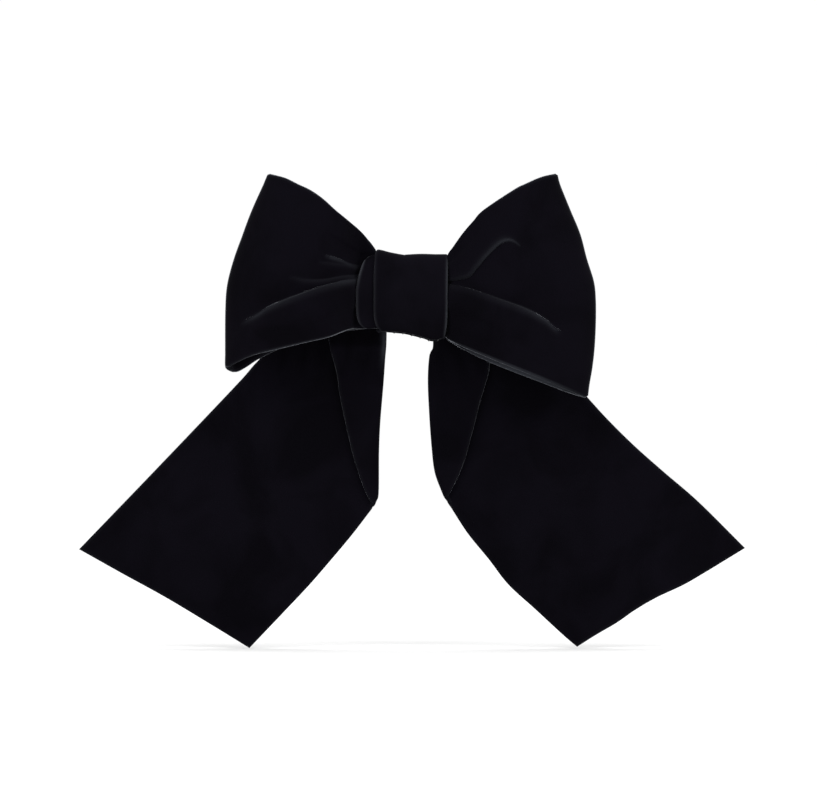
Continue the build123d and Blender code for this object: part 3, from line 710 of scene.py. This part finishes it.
# How much painted sheen lies along the strip's edges, by turn.
left_edge_sheen = smooth_line([(0, 0.2), (0.15, 0.35), (0.25, 0.3), (0.31, 0.6), (0.4, 0.8), (0.46, 0.4),
                         (0.6, 0.1), (1.0, 0.1), (1.15, 0.2), (1.25, 0.12), (1.42, 0.12), (1.5, 0.1),
                         (2.0, 0.1)])
right_edge_sheen = smooth_line([(0, 0.1), (1.0, 0.1), (1.1, 0.35), (1.25, 0.5), (1.35, 0.4), (1.44, 0.15),
                          (1.55, 0.1), (2.0, 0.1)])
for j, turn in enumerate(turns):
    inset = KNOT_HALF / mm + TURN_STEP * (2 - turn)
    x = along(strip_left, turn) * (1 - rows_in) + along(strip_right, turn) * rows_in
    angle = turn * 2 * math.pi + math.pi / 2
    c, s = math.cos(angle), math.sin(angle)
    corner = KNOT_CORNER["below" if s > 0 else "above"]
    round_y, round_z = np.sign(c) * abs(c) ** corner, np.sign(s) * abs(s) ** corner
    top, bottom = along(knot_top, x) + TURN_STEP / 2, along(knot_bottom, x)
    middle_z, half_z = (top + bottom) / 2, (top - bottom) / 2
    reach = KNOT_FRONT_REACH if round_y < 0 else KNOT_BACK_REACH
    pull = KNOT_RIPPLE * np.sin(x * 1.1 + 2.0 * round_z) * (1 - abs(round_z))
    y = KNOT_MIDDLE_Y + round_y * (reach - inset) + pull
    upright = KNOT_HALF / mm + along(knot_under, turn) if s > 0 else inset
    z = middle_z - round_z * (half_z - upright)
    wrap[:, j] = np.stack([x, y, z], axis=1)
    # Painted sheen along the strip's edges.
    in_from_left, in_from_right = x - x[0], x[-1] - x
    wrap_open[:, j] = along(left_edge_sheen, turn) * np.exp(-((in_from_left / WRAP_SHEEN_PAINT) ** 2))
    wrap_open[:, j] += along(right_edge_sheen, turn) * np.exp(-((in_from_right / WRAP_SHEEN_PAINT) ** 2))
knot = cloth_sheet("knot_wrap", as_seen(wrap) * mm, half=KNOT_HALF, seam=0.3 * mm, opened=wrap_open,
                   edges_open=(0.0, 0.0, 0.1, 0.1))
# The grey of the painted sheen along the knot strip's edges. The knot's velvet has less sheen, and its base
# colour is a little lighter as painted sheen in place of what it lacks.
KNOT_SHEEN_GREY = (0.05, 0.053, 0.062)
knot_velvet = velvet("knot_velvet", (0.0012, 0.001, 0.0018), (0.0028, 0.0024, 0.0041), KNOT_SHEEN_GREY, 0.16)
knot.data.materials.append(knot_velvet)
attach(knot, "bow")
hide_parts("knot_band")

# Slip stitches that hold the band's end down on the turn beneath it, along the knot's bottom.
STITCHES = 7
band_stitches = []
for x in np.linspace(-6.6, 14.2, STITCHES):
    low = along(knot_bottom, x)
    band_stitches.append(smooth_line([
        (x - 0.4, KNOT_MIDDLE_Y + 1.5, low + 0.9), (x - 0.3, KNOT_MIDDLE_Y + 1.1, low + 0.28),
        (x, KNOT_MIDDLE_Y + 0.1, low + 0.36), (x + 0.25, KNOT_MIDDLE_Y - 0.6, low + 1.0),
        (x + 0.35, KNOT_MIDDLE_Y - 0.9, low + 1.8),
    ], 40))
slip = thread("knot_slip_stitches", band_stitches, radius=0.16)
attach(slip, "bow")
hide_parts("knot_stitches")

# ------------------------------------------------------------------ tails
# Two doubled lengths of the same velvet, cut on the slant at their ends. Each is turned over to
# the front along its inner edge, gathered, and sewn flat behind the knot.
PANEL_Y = -7.9
sway = smooth_line([(-12.0, 0.0), (12.5, 0.0), (45.0, 0.8), (90.0, 1.0), (142.0, -1.0)])   # by the drop
TAIL_ROWS = 170
FLAP_END_Z = -84.0              # the turned-over edge runs out here

# roll is the radius of the turned-over edge and how much fuller it is where it leaves the knot,
# roll_open how much painted sheen lies on the roll there, gather the depth of the pleats behind
# the knot, and waves are their height, their length and their start.
TAILS = {
    "left": {
        "side": -1,
        "outer": [(20.0, 10.0), (44.0, -12.5), (57.3, -25.0), (66.3, -35.0), (98.5, -68.8),
                  (129.4, -100.9)],
        "bottom": [(129.4, -100.9), (112.7, -110.3), (94.8, -120.15), (77.8, -130.3), (61.2, -140.4)],
        "turned_edge": [(24.0, 8.0), (29.0, -10.0), (29.4, -17.6), (26.2, -31.2), (25.2, -38.5),
                        (21.8, -54.8), (18.4, -68.0), (14.4, -79.0), (11.9, -82.4)],
        "inner": [(12.2, -84.6), (13.35, -86.2), (20.1, -95.0), (28.45, -105.0), (37.1, -115.0),
                  (46.5, -125.0), (61.2, -140.4)],
        "turn_line": [(6.4, 12.0), (6.3, -15.0), (6.9, -25.0), (7.6, -35.0), (8.85, -50.0), (9.35, -62.0),
                      (9.5, -78.0), (10.5, -81.4), (11.5, -84.0)],
        "roll": (1.1, 2.2),
        "roll_open": 0.75,
        "waves": (1.1, 64.0, 0.4),
        "gather": 0.75,
    },
    "right": {
        "side": 1,
        "outer": [(22.0, 10.0), (49.4, -12.5), (73.9, -40.0), (83.1, -50.0), (93.3, -60.0), (104.6, -70.0),
                  (118.5, -82.0), (137.0, -100.4)],
        "bottom": [(137.0, -100.4), (129.2, -105.2), (121.0, -110.2), (112.3, -115.2), (101.6, -120.2),
                   (93.0, -125.2), (85.8, -130.2), (77.3, -135.2), (69.8, -139.9)],
        "turned_edge": [(28.0, 8.0), (34.0, -12.0), (34.9, -26.8), (32.6, -36.8), (30.7, -43.2),
                        (28.4, -52.4), (24.2, -67.2), (19.6, -77.2), (17.6, -80.2)],
        "inner": [(17.8, -81.4), (20.5, -86.0), (26.4, -95.0), (34.55, -105.0), (42.3, -115.0),
                  (53.3, -125.1), (64.0, -135.0), (69.8, -139.9)],
        "turn_line": [(10.0, 12.0), (12.2, -17.4), (10.7, -23.6), (10.1, -33.0), (10.6, -46.0),
                      (11.6, -60.0), (12.85, -70.0), (15.85, -78.0), (17.5, -81.2)],
        "roll": (1.05, 0.5),
        "roll_open": 0.05,
        "waves": (1.6, 62.0, 1.3),
        "gather": 0.6,
    },
}
PANEL_COLUMNS, TURN_COLUMNS, FLAP_COLUMNS = 64, 14, 34
SIDE_POINTS = 900
ROLL_Z, ROLL_REACH = -20.0, 7.0         # where the roll is fullest, and how soon it thins from there
ROLL_WIDTH = 1.05
PLEAT_Z, PLEAT_REACH = -21.0, 9.0
WAVES_FROM, WAVES_OVER = 25.0, 115.0    # the drop where the waves start, and over which they grow
ROLL_SHEEN_PAINT, ROLL_SHEEN_PAINT_WIDE = 2.6, 1.1    # where the painted sheen lies on the roll, in radii past the turn line
ROLL_SHEEN_PAINT_Z, ROLL_SHEEN_PAINT_REACH = -17.5, 6.5


def at(line, share):
    """Points at shares of the length of an evenly spaced line."""
    place = np.asarray(share) * (len(line) - 1)
    return np.stack([np.interp(place, np.arange(len(line)), line[:, k]) for k in range(2)], axis=-1)


def tail_surface(name):
    """The middle of the cloth of one tail: laid out flat between its four edges, then turned over
    along its inner line, and given its sway, gathers and soft waves. Columns crowd at the turn."""
    shape = TAILS[name]
    line = smooth_line(shape["turn_line"])
    thin, full = shape["roll"]
    roll = lambda z: thin + full * np.exp(-np.abs(z - ROLL_Z) / ROLL_REACH)
    width = lambda z: ROLL_WIDTH + 0.3 * (roll(z) - ROLL_WIDTH)
    bend = lambda z: np.interp(-z, -line[:, 1], line[:, 0]) + CLOTH_HALF / mm + width(z)

    turned = smooth_line(shape["turned_edge"])
    z = turned[:, 1]
    laid_out = np.stack([2 * bend(z) - turned[:, 0] - math.pi * roll(z), z], axis=1)
    inner_side = evenly(np.vstack([laid_out, smooth_line(shape["inner"])]), SIDE_POINTS)
    outer_side, bottom_side = [evenly(smooth_line(shape[side]), SIDE_POINTS) for side in ("outer", "bottom")]
    top_side = evenly(np.array([outer_side[0], inner_side[0]]), SIDE_POINTS)

    def flat(u, v):
        """The patch between the four edges."""
        low, high = u[:, None], v
        edges = at(outer_side, v) * (1 - low) + at(inner_side, v) * low
        ends = at(top_side, u) * (1 - high) + at(bottom_side, u) * high
        corners = (1 - low) * (1 - high) * outer_side[0] + low * (1 - high) * inner_side[0]
        corners = corners + (1 - low) * high * outer_side[-1] + low * high * inner_side[-1]
        return edges + ends - corners

    dense = np.linspace(0, 1, 700)
    shares = graded(TAIL_ROWS, span=160.0)
    crossings = []
    for v in shares:
        row = flat(dense, v)
        past = np.where(row[:, 1] > FLAP_END_Z, bend(row[:, 1]) - row[:, 0], -1.0)
        crossed = past.max() > 0
        around = math.pi * roll(row[-1, 1])
        crossings.append(np.interp([0, around], past, dense) if crossed else [1.0, 1.0])
    crossings = np.array(crossings)
    # Below the turned-over edge, the columns of the turn and the flap spread back over the tail.
    ended = shares[np.argmax(crossings[:, 0] >= 1.0)]
    spread = np.clip((shares - ended) / 0.3, 0, 1) ** 2
    starts = np.minimum(crossings[:, 0], 0.996 - 0.4 * spread)
    ends = np.minimum(crossings[:, 1], 0.998 - 0.28 * spread)

    points = np.zeros((len(shares), PANEL_COLUMNS + TURN_COLUMNS + FLAP_COLUMNS - 2, 3))
    opened = np.zeros(points.shape[:2])
    height, span, phase = shape["waves"]
    for i, (v, start, end) in enumerate(zip(shares, starts, ends)):
        u = np.r_[
            start * graded(PANEL_COLUMNS, end=False),
            start + (end - start) * np.linspace(0, 1, TURN_COLUMNS, endpoint=False),
            end + (1 - end) * graded(FLAP_COLUMNS, span=30.0)[1:],
        ]
        x, z = flat(u, v).T
        radius, tangent = roll(z), bend(z)
        past = np.where(z > FLAP_END_Z, tangent - x, -1.0)
        angle = np.clip(past / radius, 0, math.pi)
        over = np.clip(past - math.pi * radius, 0, None)
        real_x = np.where(past > 0, tangent - width(z) * np.sin(angle) + over, x)
        down = np.clip((-z - WAVES_FROM) / WAVES_OVER, 0, 1)
        waves = height * down**1.5 * np.sin(2 * math.pi * (real_x - 0.9 * z) / span + phase)
        near_pleats = np.exp(-(((z - PLEAT_Z) / PLEAT_REACH) ** 2))
        pleats = shape["gather"] * near_pleats * np.sin(0.75 * real_x + 0.16 * z)
        y = PANEL_Y + np.interp(-z, sway[:, 0], sway[:, 1]) + waves + pleats - radius * (1 - np.cos(angle))
        points[i] = np.stack([shape["side"] * real_x, y, z], axis=-1)
        # Painted sheen on the roll near the knot, where the curled edge is seen nearly edge on.
        rolled = np.exp(-(((past - ROLL_SHEEN_PAINT * radius) / ROLL_SHEEN_PAINT_WIDE) ** 2)) * (past > 0)
        painted_sheen_part = np.exp(-(((z - ROLL_SHEEN_PAINT_Z) / ROLL_SHEEN_PAINT_REACH) ** 2))
        opened[i] = shape["roll_open"] * rolled * painted_sheen_part
    return as_seen(points), opened


for name in TAILS:
    surface, turned_open = tail_surface(name)
    # Painted sheen on the roll and along the tail's edges.
    tail = cloth_sheet(f"tail_{name}_cloth", surface * mm, opened=turned_open,
                       edges_open=(0.0, 0.1, 0.1, 0.06))
    tail.data.materials.append(ribbon_velvet)
    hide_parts(f"tail_{name}", f"tail_{name}_top")
    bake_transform(tail)

# ------------------------------------------------------------------ felt pad
# Stiff black craft felt, die cut with rounded corners and sewn flat over the tails' tops. The
# barrette is stitched to it, and each stitch pulls a small dent into it.
FELT_HALF = 0.75 * mm
FELT_MIDDLE_Y = -6.05
FELT_LENGTH, FELT_WIDTH, FELT_CORNER = 89.0, 16.0, 6.0
FELT_ROWS, FELT_COLUMNS = 44, 190
SEWING_X = 24.0                 # the plate's side holes lie this far from its middle
STITCH_ENDS = [(way * SEWING_X, across * 5.1) for way in (-1, 1) for across in (-1, 1)]
STITCH_ENDS += [(42.6, 0.0), (-42.6, 0.0)]

felt_x = (graded(FELT_COLUMNS, span=FELT_LENGTH) - 0.5) * FELT_LENGTH
past_corner = np.clip(np.abs(felt_x) - (FELT_LENGTH / 2 - FELT_CORNER), 0, FELT_CORNER)
felt_reach = FELT_WIDTH / 2 - FELT_CORNER + np.sqrt(np.maximum(FELT_CORNER**2 - past_corner**2, 0))
felt_z = (2 * graded(FELT_ROWS, span=FELT_WIDTH) - 1)[:, None] * felt_reach
felt_xs = np.broadcast_to(felt_x, felt_z.shape)
felt_y = FELT_MIDDLE_Y - 0.06 * np.sin(felt_xs * 0.5) * np.sin(felt_z * 0.7 + 0.4)
for stitch_x, stitch_z in STITCH_ENDS:
    felt_y = felt_y - 0.22 * np.exp(-((felt_xs - stitch_x) ** 2 + (felt_z - stitch_z) ** 2) / 1.2)
felt = cloth_sheet("felt_backing", np.stack([felt_xs, felt_y, felt_z], axis=-1) * mm,
                   half=FELT_HALF, seam=0.0, groove=-0.12 * mm)

felt_material, felt_tree, felt_shader = new_material("black_felt")
felt_place = add_node(felt_tree, "TexCoord", {}, "Object")
matting = {"Vector": felt_place, "Scale": 900.0, "Detail": 6.0, "Distortion": 2.5}
matted = add_node(felt_tree, "TexNoise", matting, "Fac")
felt_tones = {"Factor": matted, "A": (0.006, 0.006, 0.007, 1), "B": (0.026, 0.026, 0.03, 1)}
felt_bump = {"Height": matted, "Strength": 0.7, "Distance": 0.15 * mm}
set_inputs(felt_tree, felt_shader, {
    "Base Color": add_node(felt_tree, "Mix", felt_tones, "Result", data_type="RGBA"),
    "Normal": add_node(felt_tree, "Bump", felt_bump, "Normal"),
    "Roughness": 1.0,
    "Specular IOR Level": 0.1,
    "Sheen Weight": 0.12,
    "Sheen Roughness": 0.5,
})
felt.data.materials.append(felt_material)
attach(felt, "bow")
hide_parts("felt_pad")

# ------------------------------------------------------------------ barrette metal
# A straight spring clip. Plate, bracket, catch base and arm are pressed from nickel-plated steel
# strip and tumbled, which rounds their sheared edges. Leaf and prongs are hard spring steel.
def strip_steel(name, colour, low, high, grain, smudges):
    """Steel strip: a fine grain along its length, and patches dulled by handling. low and high are
    its roughness where it is bright and where it is dull."""
    material, tree, shader = new_material(name)
    place = add_node(tree, "TexCoord", {}, "Object")
    lengthwise = add_node(tree, "Mapping", {"Vector": place, "Scale": (0.04, 1.0, 1.0)}, "Vector")
    lines = add_node(tree, "TexNoise", {"Vector": lengthwise, "Scale": 6000.0, "Detail": 3.0}, "Fac")
    handled = add_node(tree, "TexNoise", {"Vector": place, "Scale": 140.0, "Detail": 4.0}, "Fac")
    both = add_node(tree, "Math", {0: handled, 1: smudges, 2: lines}, "Value", operation="MULTIPLY_ADD")
    dulling = {"Value": both, "From Min": 0.3, "From Max": 0.7 + smudges, "To Min": low, "To Max": high}
    tints = {"Factor": handled, "A": (*colour, 1), "B": (*[0.72 * c for c in colour], 1)}
    scratches = {"Height": lines, "Strength": grain, "Distance": 0.02 * mm}
    set_inputs(tree, shader, {
        "Roughness": add_node(tree, "MapRange", dulling, "Result"),
        "Base Color": add_node(tree, "Mix", tints, "Result", data_type="RGBA"),
        "Normal": add_node(tree, "Bump", scratches, "Normal"),
        "Metallic": 1.0,
    })
    return material


plated_steel = strip_steel("plated_steel", (0.6, 0.585, 0.55), 0.16, 0.34, 0.25, 0.6)
spring_steel = strip_steel("spring_steel", (0.33, 0.34, 0.36), 0.26, 0.46, 0.45, 0.3)

METAL = [                       # new piece, CAD node, body, rounding of its edges in mm, finish
    ("plate_tumbled", "base_plate", "bow", 0.16, plated_steel),
    ("bracket_tumbled", "hinge_bracket", "bow", 0.12, plated_steel),
    ("hinge_rivet_head", "hinge_rivet", "bow", 0.05, plated_steel),
    ("hinge_pin_headed", "hinge_pin", "bow", 0.05, plated_steel),
    ("catch_base_tumbled", "catch_base", "bow", 0.12, plated_steel),
    ("catch_rivet_head", "catch_rivet", "bow", 0.05, plated_steel),
    ("arm_tumbled", "clamp_arm", "clamp_arm", 0.14, plated_steel),
    ("spring_leaf", "tension_spring", "tension_spring", 0.05, spring_steel),
    ("prong_upper_leaf", "catch_prong_upper", "catch_prong_upper", 0.08, spring_steel),
    ("prong_lower_leaf", "catch_prong_lower", "catch_prong_lower", 0.08, spring_steel),
]

for name, node, body, rounding, finish in METAL:
    mesh = nodes[node].data.copy()
    mesh.name = name
    mesh.materials.clear()
    mesh.materials.append(finish)
    piece = bpy.data.objects.new(name, mesh)
    scene.collection.objects.link(piece)
    bpy.ops.object.select_all(action="DESELECT")
    piece.select_set(True)
    bpy.context.view_layer.objects.active = piece
    bpy.ops.object.mode_set(mode="EDIT")
    bpy.ops.mesh.select_all(action="SELECT")
    bpy.ops.mesh.remove_doubles(threshold=0.001 * mm)
    bpy.ops.mesh.dissolve_limited(angle_limit=math.radians(0.5))
    bpy.ops.object.mode_set(mode="OBJECT")
    edge = piece.modifiers.new("tumbled_edge", "BEVEL")
    edge.width = rounding * mm
    edge.segments = 2
    edge.limit_method = "ANGLE"
    edge.angle_limit = math.radians(35)
    bpy.ops.object.modifier_apply(modifier=edge.name)
    bpy.ops.object.shade_smooth_by_angle(angle=math.radians(38))
    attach(piece, body)
    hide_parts(node)

# Three passes of thread through each sewing hole of the plate and down beside it into the felt.
PLATE_LOW, OVER_PLATE = -6.0, -4.05
PASSES = (-0.36, 0.0, 0.36)
stitch_routes = []
for aside in PASSES:
    fan = 1.5 * aside
    for way in (-1, 1):
        for across in (-1, 1):
            down, up = way * SEWING_X + aside, way * SEWING_X + fan
            stitch_routes.append(smooth_line([
                (down, PLATE_LOW, across * 3.2), (down, -4.7, across * 3.2),
                (down, OVER_PLATE, across * 3.65), (up, OVER_PLATE, across * 4.35),
                (up, -4.6, across * 4.95), (up, PLATE_LOW, across * 5.0),
            ], 60))
        stitch_routes.append(smooth_line([
            (way * 39.8, PLATE_LOW, aside), (way * 39.8, -4.7, aside),
            (way * 40.3, OVER_PLATE, aside), (way * 41.7, OVER_PLATE, fan),
            (way * 42.45, -4.6, fan), (way * 42.5, PLATE_LOW, fan),
        ], 60))
sewn = thread("barrette_stitches", stitch_routes, radius=0.19)
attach(sewn, "bow")
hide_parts("mounting_stitches")
